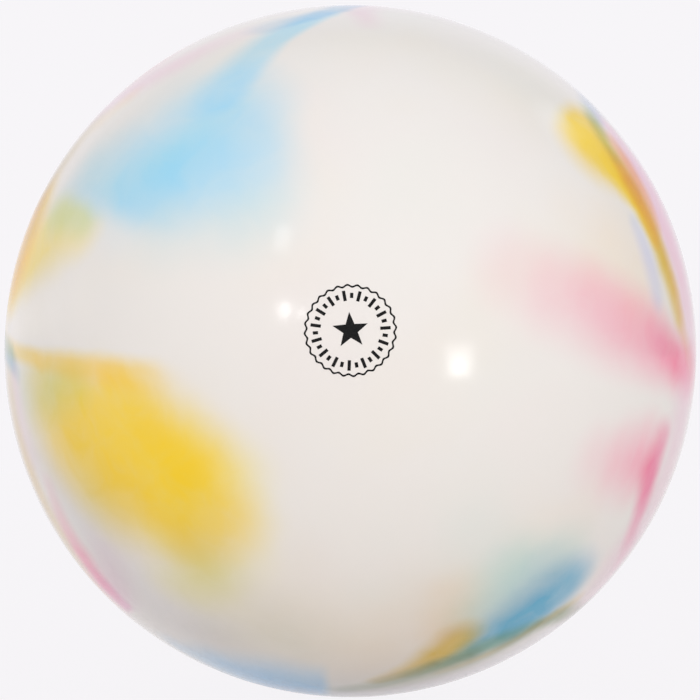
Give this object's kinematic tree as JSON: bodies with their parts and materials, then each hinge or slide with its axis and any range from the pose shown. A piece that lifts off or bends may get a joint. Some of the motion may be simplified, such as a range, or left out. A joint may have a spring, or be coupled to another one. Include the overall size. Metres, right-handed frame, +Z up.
{
  "type": "rhythmic gymnastics ball",
  "caption": "Seamless inflatable vinyl ball, pearl white with marbled colour patches, with a small flat valve pad, a rubber valve sleeve and a pull-out plug.",
  "frame": {"origin": "centre of the ball", "axes": "+Z up, the printed mark faces -Y, and +Y runs out along the valve's axis"},
  "size_m": [0.185, 0.1849, 0.185],
  "materials": {
    "marbled_vinyl": "gloss",
    "valve_rubber": "satin",
    "plug_vinyl": "satin"
  },
  "bodies": {
    "ball": {"ball_shell": "marbled_vinyl", "valve_sleeve": "valve_rubber"},
    "plug": {"valve_plug": "plug_vinyl"}
  },
  "joints": [
    {"name": "plug_pull", "type": "slide", "parent": "ball", "child": "plug", "axis": [0, 1, 0], "range_m": [0, 0.02]}
  ]
}
